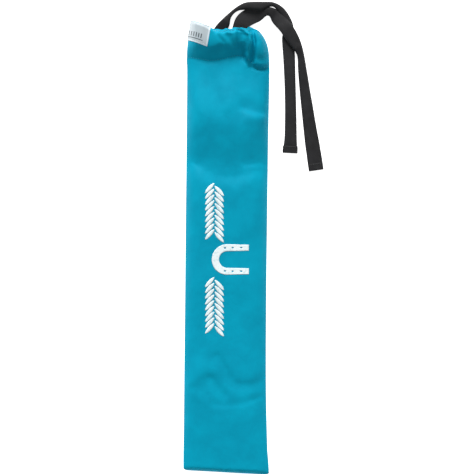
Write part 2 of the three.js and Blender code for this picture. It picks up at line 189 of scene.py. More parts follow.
# Folds: height, width to the left and to the right of its line, and the line
FOLDS = [
    # the broad swell, the long slope under it, and the two hollows at its sides
    (5.8, 44, 44, [(75, 214), (0, 209), (-75, 216)]),
    (-4.6, 15, 50, [(75, 134), (42, 128), (12, 118), (-12, 120), (-44, 134), (-72, 143)]),
    (-1.8, 4, 15, [(75, 136), (56, 138), (36, 136)]),
    (-1.8, 4, 15, [(-48, 136), (-60, 142), (-74, 144)]),
    (1.6, 40, 40, [(-75, -60), (75, -66)]),
    (1.2, 14, 20, [(30, 190), (44, 40)]),
    (1.4, 22, 30, [(-40, 100), (-34, -150)]),
    # right side, below the casing
    (-3.8, 5, 17, [(76, 220), (58, 222), (44, 225), (32, 229)]),
    (1.6, 9, 12, [(36, 210), (62, 211)]),
    (-1.5, 7, 14, [(-60, 232), (-46, 214), (-40, 186)]),
    (1.6, 12, 12, [(-22, 296), (-6, 268), (4, 236)]),
    (-1.2, 14, 12, [(40, 288), (34, 262), (44, 240)]),
    # near the bottom: a hump with a crease down from it, a longer crease, and level ones below
    (2.1, 24, 10, [(-70, -230), (-56, -222), (-45, -212), (-33, -207), (-25, -209)]),
    (-1.5, 8, 8, [(-24, -217), (-18, -229), (-9, -241), (-2, -247)]),
    (-1.8, 7, 12, [(-14, -183), (-6, -196), (3, -213), (15, -227), (33, -230), (47, -229),
                   (60, -222), (72, -214)]),
    (-0.9, 5, 9, [(44, -255), (24, -261), (0, -263), (-22, -262)]),
    (-0.9, 5, 8, [(70, -243), (56, -251), (44, -255)]),
    (1, 10, 10, [(-52, -244), (-30, -260)]),
    (-1.4, 14, 9, [(50, -262), (57, -320), (52, -374)]),
    (-1, 20, 16, [(-66, -120), (-60, -180)]),
    # pleats that the drawn tie makes in the casing
    (6.2, 3.4, 3, [(20, 362), (31, 358), (38.5, 350), (40, 339), (37, 326), (34.5, 313),
                   (36.5, 304)]),
    (-9, 3, 4.4, [(42.5, 366), (45, 352), (47.5, 337), (46, 321), (44, 308)]),
    (3.4, 6, 8, [(53, 355), (60, 342), (61, 320)]),
    (-3.8, 4, 8, [(27, 350), (23, 340), (25, 327), (29, 316)]),
    (-3.6, 8, 4, [(-19, 361), (-13, 349), (-4, 340)]),
    (3, 4, 6, [(-12, 351), (2, 339), (10, 328)]),
    (-1.8, 5, 7, [(-42, 328), (-24, 323), (-6, 330)]),
    (3, 7, 5, [(0, 359), (13, 351), (16, 338)]),
    (3.8, 3, 8, [(70, 302), (54, 301.5), (44, 305), (36, 313)]),
    (-3.4, 3, 3, [(70, 295), (54, 295.5), (42, 299), (33, 307)]),
]


def hermite(t, span, start, end, leaving, arriving):
    """A cubic from start to end, with its slope at each. t goes from 0 to 1 over the span."""
    return (
        start * (2 * t**3 - 3 * t**2 + 1)
        + leaving * span * (t**3 - 2 * t**2 + t)
        + end * (3 * t**2 - 2 * t**3)
        + arriving * span * (t**3 - t**2)
    )


def smooth_through(pairs):
    """A smooth curve through (place, value) pairs, as a function of the place."""
    places, values = (np.array(column, float) for column in zip(*pairs))
    slopes = np.gradient(values, places)

    def value_at(place):
        place = np.clip(place, places[0], places[-1])
        i = np.clip(np.searchsorted(places, place) - 1, 0, len(places) - 2)
        step = places[i + 1] - places[i]
        t = (place - places[i]) / step
        return hermite(t, step, values[i], values[i + 1], slopes[i], slopes[i + 1])

    return value_at


left_side = smooth_through(LEFT_SIDE)
right_side = smooth_through(RIGHT_SIDE)
mouth_curve = smooth_through(MOUTH_EDGE)
casing_seam = smooth_through(CASING_SEAM)


def smoothstep(value, low, high):
    """0 up to low, 1 from high on, and smooth between them."""
    t = np.clip((value - low) / (high - low), 0, 1)
    return t * t * (3 - 2 * t)


def mouth_edge(share):
    """The mouth's edge, scalloped where the tie gathers it."""
    scallops = np.sin(SCALLOP_TURNS * share) * smoothstep(share, *SCALLOP_SPAN)
    return mouth_curve(share) + SCALLOP * scallops


def bottom_edge(share):
    """The bottom seam, with its corners just rounded."""
    corner = BOTTOM_CORNER * np.abs(share) ** CORNER_POWER
    return BOTTOM_Y - BOTTOM_OUT - BOTTOM_SLANT * share + corner


def across_share(x, y):
    """How far across the bag a place is, from -1 at its left side to 1 at its right side."""
    left, right = left_side(y), right_side(y)
    return np.clip((2 * x - left - right) / (right - left), -1, 1)


def fold_shape(x, y, points, left_width, right_width):
    """A smooth ridge 1 high along a line of points, wider on one side than on the other."""
    nearest = np.full(np.shape(x), np.inf)
    width = np.full(np.shape(x), float(left_width))
    for (x0, y0), (x1, y1) in zip(points, points[1:]):
        length = math.hypot(x1 - x0, y1 - y0)
        dx, dy = (x1 - x0) / length, (y1 - y0) / length
        along = np.clip((x - x0) * dx + (y - y0) * dy, 0, length)
        off_x, off_y = x - x0 - dx * along, y - y0 - dy * along
        distance = np.hypot(off_x, off_y)
        side = (dx * off_y - dy * off_x) / np.maximum(distance, 1e-9)
        here = distance < nearest
        width = np.where(here, right_width + (left_width - right_width) * (0.5 + 0.5 * side), width)
        nearest = np.where(here, distance, nearest)
    return np.exp(-((nearest / width) ** 2))


def crowned_height(share, y):
    """The filled bag's height: crowned across, and coming down to the bottom seam."""
    low = bottom_edge(share)
    rounding = 1 - (1 - np.clip((y - low) / BOTTOM_ROUNDING, 0, 1)) ** ROUNDING_POWER
    rise = smoothstep(y, low, low + BOTTOM_RISE)
    taper = BOTTOM_SHARE * rounding + (1 - BOTTOM_SHARE) * rise
    arch = 1 - np.abs(share) ** CROWN_POWER
    crown = FOOT_CROWN + (CROWN - FOOT_CROWN) * smoothstep(y, *CROWN_SPAN)
    return crown * arch * taper


def casing_swell(share, y):
    """Rises from the casing's seam and falls in to the mouth, more gently on the right."""
    seam = casing_seam(share)
    up = np.clip((y - seam) / (mouth_edge(share) - seam), 0, 1)
    to_right = smoothstep(share, *SWELL_CHANGE)
    top, fall = (left + (right - left) * to_right for left, right in (SWELL_TOP, SWELL_FALL))
    return smoothstep(up, 0, top) * (1 - smoothstep(up, fall, SWELL_END))


def mouth_gathers(x):
    """Fine gathers, closest together where the tie pulls hardest."""
    stray, stray_length = TIGHT_GATHER_DRIFT
    tight = np.sin(x / TIGHT_GATHER + stray * np.sin(x / stray_length))
    loose = np.sin(x / LOOSE_GATHER + 0.7)
    return tight * smoothstep(x, *TIGHT_GATHER_SPAN) + LOOSE_GATHER_SHARE * loose


def front_height(x, y):
    """How high the front's outer face is over a place on the table."""
    x, y = np.asarray(x, float), np.asarray(y, float)
    share = across_share(x, y)
    off = y - casing_seam(share)
    in_casing = smoothstep(off, *CASING_START)
    height = FRONT_BASE + crowned_height(share, y) + CASING_SIDE_LIFT * in_casing

    # the casing swells over the tie inside it, and its seam draws the cloth down
    arch = 1 - np.abs(share) ** CROWN_POWER
    height = height + CASING_BULGE * casing_swell(share, y) * arch
    wide = np.where(off < 0, SEAM_VALLEY_BELOW, SEAM_VALLEY_ABOVE)
    height = height - SEAM_VALLEY * np.exp(-((off / wide) ** 2)) * arch
    height = height - SEAM_GROOVE * np.exp(-((off / SEAM_GROOVE_WIDTH) ** 2)) * arch

    edge_fade = 1 - np.abs(share) ** FOLD_FADE_POWER
    for size, left_width, right_width, points in FOLDS:
        height = height + size * edge_fade * fold_shape(x, y, points, left_width, right_width)
    reach = np.exp(-((mouth_edge(share) - y) / GATHER_REACH))
    height = height + GATHER * mouth_gathers(x) * reach * edge_fade
    return np.maximum(height, LEAST_FRONT)


def back_height(x, y):
    """How high the back's outer face is: flat on the table, and up on the label in the casing."""
    seam = casing_seam(across_share(x, y))
    return BACK_BASE + CASING_LIFT * smoothstep(y, seam - CASING_LIFT_RUN, seam)


def crumple(x, y):
    """Shallow random unevenness at one place on the front, always the same."""
    return sum(
        height * noise.noise(Vector((x / across, y / along, layer)))
        for height, across, along, layer in CRUMPLES
    )


def surface_height(x, y):
    """The front with its unevenness, for what lies on it."""
    fade = 1 - np.abs(across_share(x, y)) ** CRUMPLE_FADE_POWER
    return front_height(x, y) + np.vectorize(crumple)(x, y) * fade


# Materials


# Sizes of what repeats in the materials
WEAVE_PITCH = 1.7  # real threads are 0.4 mm apart; this is the finest that shows
TWILL_PITCH = 2.4  # real ribs are 0.8 mm apart; drawn coarser to show
SATIN_PITCH = 1.6  # real ribs are 0.3 mm apart; drawn coarser to show
TWIST_PITCH = 0.7
DYE_PATCH = 35.7
CRINKLE = 11.1
YARN_WISP = 14.3
INK_THIN_SPOT = 4.17
LABEL_BARS = 8.5  # across half of the label
WAVE_TURN = 20  # radians in one unit of the Wave Texture's coordinate


def linear(hex_colour):
    """An sRGB hex colour as linear RGBA."""
    channels = [int(hex_colour[i : i + 2], 16) / 255 for i in (1, 3, 5)]
    straight = [c / 12.92 if c <= 0.04045 else ((c + 0.055) / 1.055) ** 2.4 for c in channels]
    return (*straight, 1)


def add_node(tree, kind, inputs=None, **settings):
    """Adds a node. Each of its inputs is a value, or another node's output to link to."""
    made = tree.nodes.new(kind)
    for name, value in settings.items():
        setattr(made, name, value)
    for name, value in (inputs or {}).items():
        if isinstance(value, bpy.types.NodeSocket):
            tree.links.new(value, made.inputs[name])
        else:
            made.inputs[name].default_value = value
    return made


def wave_scale(period):
    """The Wave Texture's scale for one line every so many millimetres."""
    return 2 * math.pi / WAVE_TURN / (period * MM)


def noise_scale(size):
    """The Noise Texture's scale for spots of so many millimetres."""
    return 1 / (size * MM)


def start_material(name):
    """A new material, its node tree, and a place on the piece in metres."""
    material = bpy.data.materials.new(name)
    material.use_nodes = True
    tree = material.node_tree
    tree.nodes.clear()
    place = add_node(tree, "ShaderNodeTexCoord").outputs["Object"]
    return material, tree, place


def finish_material(tree, **sockets):
    """The surface shader and its output. A socket's name is written with _ for a space."""
    inputs = {name.replace("_", " "): value for name, value in sockets.items()}
    surface = add_node(tree, "ShaderNodeBsdfPrincipled", inputs)
    add_node(tree, "ShaderNodeOutputMaterial", {"Surface": surface.outputs["BSDF"]})


def woven_bump(tree, place, depth, strength):
    """Bump of a plain weave, as deep as so many millimetres."""
    lines = [
        add_node(
            tree,
            "ShaderNodeTexWave",
            {"Vector": place, "Scale": wave_scale(WEAVE_PITCH), "Distortion": 0.0},
            wave_type="BANDS",
            bands_direction=direction,
            wave_profile="SIN",
        ).outputs["Fac"]
        for direction in "XY"
    ]
    weave = add_node(tree, "ShaderNodeMath", {0: lines[0], 1: lines[1]}, operation="MAXIMUM")
    return add_node(
        tree,
        "ShaderNodeBump",
        {"Height": weave.outputs[0], "Distance": depth * MM, "Strength": strength},
    ).outputs["Normal"]


def pack_nylon(name, pale, deep):
    """Coated pack-cloth nylon: plain weave with a calendered face, so it has a soft broad sheen,
    small crinkles, and slight patches of lighter and deeper dye."""
    material, tree, place = start_material(name)
    patches = add_node(
        tree,
        "ShaderNodeTexNoise",
        {"Vector": place, "Scale": noise_scale(DYE_PATCH), "Detail": 3.0},
    ).outputs["Fac"]
    spread = add_node(
        tree,
        "ShaderNodeMapRange",
        {"Value": patches, "From Min": 0.36, "From Max": 0.64},
    ).outputs["Result"]
    colour = add_node(
        tree, "ShaderNodeMix", {0: spread, 6: linear(deep), 7: linear(pale)}, data_type="RGBA"
    ).outputs[2]
    weave = woven_bump(tree, place, 0.05, 0.6)
    crinkles = add_node(
        tree,
        "ShaderNodeTexNoise",
        {"Vector": place, "Scale": noise_scale(CRINKLE), "Detail": 4.0, "Distortion": 0.6},
    ).outputs["Fac"]
    crinkled = add_node(
        tree,
        "ShaderNodeBump",
        {"Height": crinkles, "Distance": 0.7 * MM, "Strength": 0.5, "Normal": weave},
    ).outputs["Normal"]
    roughness = add_node(
        tree,
        "ShaderNodeMapRange",
        {"Value": crinkles, "To Min": 0.52, "To Max": 0.68},
    ).outputs["Result"]
    finish_material(
        tree,
        Base_Color=colour,
        Roughness=roughness,
        Normal=crinkled,
        IOR=1.53,
        Specular_IOR_Level=0.07,
    )
    return material


def cotton_twill_tape(name, pale, deep):
    """Black twill tape: matt spun yarn with fine slanted ribs that catch the light as grey."""
    material, tree, place = start_material(name)
    wisps = add_node(
        tree,
        "ShaderNodeTexNoise",
        {"Vector": place, "Scale": noise_scale(YARN_WISP), "Detail": 5.0},
    ).outputs["Fac"]
    colour = add_node(
        tree, "ShaderNodeMix", {0: wisps, 6: linear(deep), 7: linear(pale)}, data_type="RGBA"
    ).outputs[2]
    ribs = add_node(
        tree,
        "ShaderNodeTexWave",
        {"Vector": place, "Scale": wave_scale(TWILL_PITCH), "Distortion": 0.3, "Detail": 1.0},
        wave_type="BANDS",
        bands_direction="DIAGONAL",
    ).outputs["Fac"]
    bump = add_node(
        tree, "ShaderNodeBump", {"Height": ribs, "Distance": 0.1 * MM, "Strength": 0.6}
    ).outputs["Normal"]
    finish_material(
        tree,
        Base_Color=colour,
        Roughness=0.72,
        Normal=bump,
        IOR=1.5,
        Specular_IOR_Level=0.25,
        Sheen_Weight=0.06,
        Sheen_Roughness=0.45,
    )
    return material


def spun_thread(name, pale, deep):
    """Polyester sewing thread: two plies twisted together, with a slight shine."""
    material, tree, place = start_material(name)
    twist = add_node(
        tree,
        "ShaderNodeTexWave",
        {"Vector": place, "Scale": wave_scale(TWIST_PITCH), "Distortion": 0.5},
        wave_type="BANDS",
        bands_direction="DIAGONAL",
    ).outputs["Fac"]
    bump = add_node(
        tree, "ShaderNodeBump", {"Height": twist, "Distance": 0.06 * MM}
    ).outputs["Normal"]
    # painted shade: the twist also paints the colour, paler on the raised plies and darker in the
    # grooves between them
    colour = add_node(
        tree, "ShaderNodeMix", {0: twist, 6: linear(deep), 7: linear(pale)}, data_type="RGBA"
    ).outputs[2]
    finish_material(tree, Base_Color=colour, Roughness=0.5, Normal=bump, IOR=1.55)
    return material


def woven_satin(name, pale, deep, border, figure):
    """Damask-woven label: satin ground with fine ribs, a painted highlight along its folded right
    and bottom edges, a figure in dark weft.
    """
    material, tree, place = start_material(name)
    label = add_node(tree, "ShaderNodeUVMap", uv_map="label").outputs["UV"]
    ribs = add_node(
        tree,
        "ShaderNodeTexWave",
        {"Vector": place, "Scale": wave_scale(SATIN_PITCH)},
        wave_type="BANDS",
        bands_direction="Y",
    ).outputs["Fac"]
    # painted shade: the ground is darker in the grooves between the ribs and paler on their crests
    ground = add_node(
        tree, "ShaderNodeMix", {0: ribs, 6: linear(deep), 7: linear(pale)}, data_type="RGBA"
    ).outputs[2]
    split = add_node(tree, "ShaderNodeSeparateXYZ", {0: label})
    across, up = split.outputs["X"], split.outputs["Y"]

    # a plain row of upright bars over one level line, inside the painted edge highlight
    repeat = add_node(
        tree, "ShaderNodeMath", {0: across, 1: LABEL_BARS}, operation="MULTIPLY"
    ).outputs[0]
    part = add_node(tree, "ShaderNodeMath", {0: repeat}, operation="FRACT").outputs[0]
    limits = {
        "bar_width": (part, 0.28, 0.66),
        "bar_height": (up, 0.27, 0.49),
        "line_height": (up, 0.17, 0.21),
        "figure_width": (across, -0.62, 0.74),
        "ground_width": (across, -0.93, 0.93),
        "ground_height": (up, 0.06, 1.1),
    }
    inside = {
        band: add_node(
            tree,
            "ShaderNodeMath",
            {0: value, 1: (low + high) / 2, 2: (high - low) / 2},
            operation="COMPARE",
        ).outputs[0]
        for band, (value, low, high) in limits.items()
    }
    bars = add_node(
        tree,
        "ShaderNodeMath",
        {0: inside["bar_width"], 1: inside["bar_height"]},
        operation="MULTIPLY",
    ).outputs[0]
    both = add_node(
        tree, "ShaderNodeMath", {0: bars, 1: inside["line_height"]}, operation="MAXIMUM"
    ).outputs[0]
    marked = add_node(
        tree, "ShaderNodeMath", {0: both, 1: inside["figure_width"]}, operation="MULTIPLY"
    ).outputs[0]
    body = add_node(
        tree,
        "ShaderNodeMath",
        {0: inside["ground_width"], 1: inside["ground_height"]},
        operation="MULTIPLY",
    ).outputs[0]
    # painted highlight: the colour passed in as border is a paler band along the folded right and
    # bottom edges, where they catch the light
    edge_lit = add_node(
        tree, "ShaderNodeMix", {0: body, 6: linear(border), 7: ground}, data_type="RGBA"
    ).outputs[2]
    colour = add_node(
        tree, "ShaderNodeMix", {0: marked, 6: edge_lit, 7: linear(figure)}, data_type="RGBA"
    ).outputs[2]
    bump = add_node(
        tree, "ShaderNodeBump", {"Height": ribs, "Distance": 0.06 * MM, "Strength": 0.7}
    ).outputs["Normal"]
    finish_material(
        tree, Base_Color=colour, Roughness=0.5, Normal=bump, IOR=1.5, Sheen_Weight=0.15
    )
    return material


def screen_ink(name, pale, deep):
    """Plastisol screen ink: an opaque rubbery film, matt, with the weave just showing through."""
    material, tree, place = start_material(name)
    thin_spots = add_node(
        tree,
        "ShaderNodeTexNoise",
        {"Vector": place, "Scale": noise_scale(INK_THIN_SPOT), "Detail": 3.0},
    ).outputs["Fac"]
    worn = add_node(
        tree,
        "ShaderNodeMapRange",
        {"Value": thin_spots, "From Min": 0.3, "From Max": 0.46},
    ).outputs["Result"]
    colour = add_node(
        tree, "ShaderNodeMix", {0: worn, 6: linear(deep), 7: linear(pale)}, data_type="RGBA"
    ).outputs[2]
    weave = woven_bump(tree, place, 0.04, 0.5)
    finish_material(tree, Base_Color=colour, Roughness=0.55, Normal=weave, IOR=1.5)
    return material


NYLON = pack_nylon("turquoise_pack_nylon", "#009fbe", "#0096b5")
SEAM_EDGE = pack_nylon("overlocked_nylon_edge", "#0f98b6", "#06809f")
TAPE = cotton_twill_tape("black_twill_tape", "#303032", "#101012")
# each thread's two colours are its twist's painted light on the plies and painted shade in the
# grooves
TURQUOISE_THREAD = spun_thread("turquoise_polyester_thread", "#2fb4cd", "#0a86a6")
BLACK_THREAD = spun_thread("black_polyester_thread", "#4a4a4c", "#1b1b1c")
WHITE_THREAD = spun_thread("white_polyester_thread", "#eef3f4", "#c3ced4")
# label colours: ribs painted paler on their crests and darker in their grooves as shade; #dcecf4 is
# a painted highlight along the folded right and bottom edges
LABEL_SATIN = woven_satin("pale_grey_damask_label", "#c0ccd1", "#adbac1", "#dcecf4", "#2e3a44")
INK = screen_ink("white_plastisol_ink", "#effbfd", "#c9e6ec")


# Making pieces


def piece(name, points, faces, material, nodes):
    """A mesh piece from points in millimetres, riding on the bag and standing for CAD nodes."""
    mesh = bpy.data.meshes.new(name)
    mesh.from_pydata([tuple(c * MM for c in point) for point in points], [], faces)
    mesh.materials.append(material)
    mesh.shade_smooth()
    made = bpy.data.objects.new(name, mesh)
    bpy.context.collection.objects.link(made)
    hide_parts(*nodes)
    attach(made, "root")
    return made


def distances_along(points):
    """How far along a line of points each of them lies."""
    steps = np.linalg.norm(np.diff(points, axis=0), axis=1)
    return np.concatenate([[0], np.cumsum(steps)])


def thicken(made, thickness, inward=True):
    """Gives a sheet its thickness, in millimetres."""
    solidify = made.modifiers.new("cloth_thickness", "SOLIDIFY")
    solidify.thickness = thickness * MM
    solidify.offset = -1 if inward else 1
    solidify.use_even_offset = False


def grid_faces(rows, columns, around=False):
    """Quads of a grid of points stored row by row; around joins its last column to its first."""
    last = columns if around else columns - 1
    return [
        (
            r * columns + c,
            r * columns + (c + 1) % columns,
            (r + 1) * columns + (c + 1) % columns,
            (r + 1) * columns + c,
        )
        for r in range(rows - 1)
        for c in range(last)
    ]


# Camera, straight above. Its sizes are in metres.

CAMERA_HEIGHT = 3.0
VIEW_WIDTH = 0.79
VIEW_MIDDLE = (0.0183, 0.0158)
camera_data = bpy.data.cameras.new("camera_above")
camera_data.sensor_width = 36
camera_data.lens = camera_data.sensor_width * CAMERA_HEIGHT / VIEW_WIDTH
camera = bpy.data.objects.new("camera_above", camera_data)
camera.location = (*VIEW_MIDDLE, CAMERA_HEIGHT)
bpy.context.collection.objects.link(camera)
bpy.context.scene.camera = camera


# The two ends of the tie


def fine_path(route):
    """Evenly spaced points along a smooth curve through a route, and how far along it each point
    of the route lies."""
    knots = np.array([(x, MOUTH_Y * MM + y, z) for x, y, z in route]) / MM
    chords = np.linalg.norm(np.diff(knots, axis=0), axis=1)
    reach = np.concatenate([[0], np.cumsum(chords**0.5)])
    tangents = np.gradient(knots, reach, axis=0)
    points, places = [], []
    for i in range(len(knots) - 1):
        span = reach[i + 1] - reach[i]
        count = max(2, round(chords[i] / CURVE_STEP))
        places.append(len(points))
        points += [
            hermite(t, span, knots[i], knots[i + 1], tangents[i], tangents[i + 1])
            for t in np.arange(count) / count
        ]
    places.append(len(points))
    points = np.array([*points, knots[-1]])
    travelled = distances_along(points)
    stations = np.linspace(0, travelled[-1], round(travelled[-1] / PATH_STEP) + 1)
    path = np.stack([np.interp(stations, travelled, points[:, k]) for k in range(3)], axis=1)
    return path, travelled[places]


def arch_height(across, length):
    """The height of a flat-topped arch across wide, made from a strip of some length."""
    spare = np.maximum(length - across, 0)
    return np.minimum(ARCH_START + ARCH_RATE * spare, ARCH_LIMIT)


def arch_section(left, right, tilt):
    """The tape's section where it shows so far to the left and right: points along the middle of
    its thickness, (sideways, up), and the direction out of its upper face at each."""
    width = left + right - TIE_THICKNESS
    turn = np.linspace(-math.pi / 2, math.pi / 2, TAPE_COLUMNS)
    section = np.stack(
        [
            width / 2 * np.sign(np.sin(turn)) * np.abs(np.sin(turn)) ** ARCH_SQUARENESS,
            arch_height(width, TIE_WIDTH) * np.maximum(np.cos(turn), 0) ** ARCH_SQUARENESS,
        ]
    )
    cosine, sine = math.cos(tilt), math.sin(tilt)
    section = np.array([[cosine, -sine], [sine, cosine]]) @ section
    section[1] -= section[1].min()
    section[0] += (left - right) / 2 - (section[0].max() + section[0].min()) / 2
    along = np.gradient(section, axis=1)
    along /= np.linalg.norm(along, axis=0)
    return section, np.stack([-along[1], along[0]])


def tape_sections(path, reach, lean, lift, knots):
    """Points of the tape's upper and lower face at each place on a path. Its section is a
    flat-topped arch as wide as the tape shows there, leaning to one side."""
    travelled = distances_along(path)
    left, right, tilt, rise = (
        smooth_through(list(zip(knots, column)))(travelled)
        for column in (*zip(*reach), lean, lift)
    )
    heading = np.gradient(path, axis=0)
    heading /= np.linalg.norm(heading, axis=1)[:, None]
    up = np.array([0, 0, 1.0])
    top, under = [], []
    for i, middle in enumerate(path):
        section, outward = arch_section(left[i], right[i], tilt[i])
        side = np.array([-heading[i][1], heading[i][0], 0])
        side /= np.linalg.norm(side)
        base = middle + up * max(rise[i], TIE_REST - middle[2])
        for out, face in ((TIE_THICKNESS / 2, top), (-TIE_THICKNESS / 2, under)):
            x, z = section + out * outward
            face.append(base + x[:, None] * side + z[:, None] * up)
    return np.array(top), np.array(under)


def make_tape(name, top, under, nodes):
    """A closed strip from the points of its upper and lower faces."""
    rows, columns = top.shape[:2]
    ring = np.concatenate([top, under[:, ::-1]], axis=1)
    around = 2 * columns
    faces = [face[::-1] for face in grid_faces(rows, around, around=True)]
    for first in (0, (rows - 1) * around):
        cap = [
            (first + c, first + c + 1, first + around - 2 - c, first + around - 1 - c)
            for c in range(columns - 1)
        ]
        faces += cap if first == 0 else [face[::-1] for face in cap]
    return piece(name, ring.reshape(-1, 3), faces, TAPE, nodes)


# One stitch: its faces go round from each tip to the four points of its middle
STITCH_FACES = [(0, 2, 3), (0, 3, 4), (0, 4, 5), (0, 5, 2)]
STITCH_FACES += [(1, 3, 2), (1, 4, 3), (1, 5, 4), (1, 2, 5)]
STITCH_WIDTH = 0.8
STITCH_HEIGHT = 0.35
STITCH_DEPTH = 0.6  # below its line, as a share of its height


def stitch_points(start, end, normal):
    """One stitch as a long low octahedron: two tips, and four points round its middle."""
    start, end, normal = (np.array(v, float) for v in (start, end, normal))
    middle = (start + end) / 2
    along = (end - start) / np.linalg.norm(end - start)
    side = np.cross(normal, along)
    side /= np.linalg.norm(side)
    return [
        start,
        end,
        middle + side * STITCH_WIDTH / 2,
        middle + normal * STITCH_HEIGHT,
        middle - side * STITCH_WIDTH / 2,
        middle - normal * STITCH_HEIGHT * STITCH_DEPTH,
    ]


def make_stitches(name, stitches, material, nodes):
    """A row of stitches, each from (start, end, normal)."""
    points, faces = [], []
    for start, end, normal in stitches:
        first = len(points)
        points += stitch_points(start, end, normal)
        faces += [tuple(first + i for i in face) for face in STITCH_FACES]
    return piece(name, points, faces, material, nodes)


def tip_stitches(row, normal):
    """Stitches across the turned tip, along a row of its points."""
    spacing = distances_along(row)
    raised = normal * 0.1
    stitches = []
    for start in np.arange(TIP_MARGIN, spacing[-1] - 2 * TIP_MARGIN, TIP_PITCH):
        first, second = (
            np.array([np.interp(at, spacing, row[:, k]) for k in range(3)]) + raised
            for at in (start, start + TIP_STITCH)
        )
        stitches.append((first, second, normal))
    return stitches


def make_tie(side, route, reach, lean, lift):
    """One end of the tie, with its tip turned back on itself and stitched across."""
    path, knots = fine_path(route)
    top, under = tape_sections(path, reach, lean, lift, knots)
    tie = make_tape(f"{side}_tie_tape", top, under, [f"tie_{side}"])

    fold_rows = round(TIE_FOLD / PATH_STEP) + 1
    last = top[-fold_rows:]
    rise = last - under[-fold_rows:]
    rise /= np.linalg.norm(rise, axis=2)[:, :, None]
    fold_under = (last + rise * TIE_FOLD_GAP)[:, 1:-1]
    fold_top = fold_under + rise[:, 1:-1] * TIE_THICKNESS
    fold = make_tape(
        f"{side}_tie_turned_tip", fold_top, fold_under, [f"tie_{side}_end_fold"]
    )
    stitching = make_stitches(
        f"{side}_tie_tip_stitches",
        tip_stitches(fold_top[1], rise[1][TAPE_COLUMNS // 2]),
        BLACK_THREAD,
        [f"tie_{side}_end_stitch"],
    )


make_tie("left", TIE_LEFT_ROUTE, TIE_LEFT_REACH, TIE_LEFT_LEAN, TIE_LEFT_LIFT)
make_tie("right", TIE_RIGHT_ROUTE, TIE_RIGHT_REACH, TIE_RIGHT_LEAN, TIE_RIGHT_LIFT)


# The shell


def shell_ring(y, inset, share):
    """One ring of the shell: its front from left to right, and its back from right to left."""
    left, right = left_side(y) + inset, right_side(y) - inset
    x = (left + right) / 2 + share * (right - left) / 2
    front, back = surface_height(x, y), back_height(x, y)
    if inset:
        middle = (front + back) / 2
        front = np.maximum(front - inset, middle + LEAST_GAP)
        back = np.minimum(back + inset, middle - LEAST_GAP)
    return np.concatenate(
        [np.stack([x, y, front], axis=1), np.stack([x, y, back], axis=1)[::-1]]
    )


def shell_points():
    """Rings of the shell from the bottom seam, over the mouth's edge, and down inside."""
    share = np.linspace(-1, 1, ACROSS + 1)
    crowded = np.sin(share * math.pi / 2)
    share = crowded * SIDE_CROWDING + share * (1 - SIDE_CROWDING)
    bottom, seam, mouth = bottom_edge(share), casing_seam(share), mouth_edge(share)
    rings = []
    for t in np.linspace(0, 1, BODY_ROWS, endpoint=False):
        rings.append(shell_ring(bottom + (seam - bottom) * t, 0, share))
    for t in np.linspace(0, 1, CASING_ROWS):
        rings.append(shell_ring(seam + (mouth - seam) * t, 0, share))
    turn = HEM_INSET / 2
    for angle in np.linspace(0, math.pi, LIP_ROWS + 2)[1:-1]:
        ring = shell_ring(mouth, turn * (1 - math.cos(angle)), share)
        ring[:, 1] += turn * math.sin(angle)
        rings.append(ring)
    for t in np.linspace(0, 1, HEM_ROWS):
        inset = HEM_INSET * (1 - HEM_TAPER * t**8)
        rings.append(shell_ring(mouth + (seam + HEM_END - mouth) * t, inset, share))
    return rings


def make_shell():
    """Both panels and both halves of the casing, closed at the bottom and open at the mouth."""
    rings = shell_points()
    around = len(rings[0])
    faces = grid_faces(len(rings), around, around=True)
    bottom_cap = [
        (c + 1, c, around - 1 - c, around - 2 - c) for c in range(around // 2 - 1)
    ]
    shell = piece(
        "bag_shell",
        np.concatenate(rings),
        faces + bottom_cap,
        NYLON,
        ["front_panel", "back_panel", "casing_front", "casing_back"],
    )
    thicken(shell, CLOTH)


make_shell()


# What is inside: seam allowances, and the tie in its casing


ALLOWANCE_WIDTH = 8
ALLOWANCE_HEIGHT = 0.85  # above the table
ALLOWANCE_CLOTH = 0.5
ALLOWANCE_OUTSET = 1.5  # of the bottom one, from the bottom seam
SIDE_SEAM_LINES = (1.6, 5)  # how far in from the side its outer and middle lines are
SIDE_SEAM_SPAN = (BOTTOM_Y + 10, SEAM_Y - 14)
SIDE_SEAM_ROWS = 120
SEAM_RIPPLE = 0.25
BOTTOM_SEAM_REACH = 68  # each way from the middle
BOTTOM_SEAM_COLUMNS = 60


def make_allowance(name, rows, node):
    """An overlocked edge from the lines of points that run along it, in order across it."""
    points = np.stack(rows, axis=1)
    seam = piece(
        name,
        points.reshape(-1, 3),
        grid_faces(len(points), len(rows)),
        SEAM_EDGE,
        [node],
    )
    thicken(seam, ALLOWANCE_CLOTH)


def make_seams():
    """Overlocked allowances along the sides and the bottom, inside the bag."""
    ys = np.linspace(*SIDE_SEAM_SPAN, SIDE_SEAM_ROWS)
    level = np.full_like(ys, ALLOWANCE_HEIGHT)
    ripple = SEAM_RIPPLE * np.sin(ys / 2.2)
    outer, middle = SIDE_SEAM_LINES
    for side, edge, inward in (("left", left_side, 1), ("right", right_side, -1)):
        rows = [
            np.stack([edge(ys) + inward * outer, ys, level], axis=1),
            np.stack([edge(ys) + inward * middle, ys, level + 0.3], axis=1),
            np.stack(
                [edge(ys) + inward * (ALLOWANCE_WIDTH + ripple), ys, level + 0.3 + ripple * 0.6],
                axis=1,
            ),
        ]
        make_allowance(f"{side}_overlocked_edge", rows, f"side_seam_{side}")
    share = np.linspace(-0.96, 0.96, BOTTOM_SEAM_COLUMNS)
    x, bottom = share * BOTTOM_SEAM_REACH, bottom_edge(share)
    level = np.full_like(x, ALLOWANCE_HEIGHT)
    rows = [
        np.stack([x, bottom + ALLOWANCE_WIDTH, level + 0.25 + 0.2 * np.sin(x / 2)], axis=1),
        np.stack([x, bottom + ALLOWANCE_OUTSET, level], axis=1),
    ]
    make_allowance("bottom_overlocked_edge", rows, "bottom_seam")


HELD_SPAN = (-12, 11)  # from the middle of the casing
HELD_THICKNESS = 0.6
HELD_ROWS = 10
HELD_COLUMNS = 61


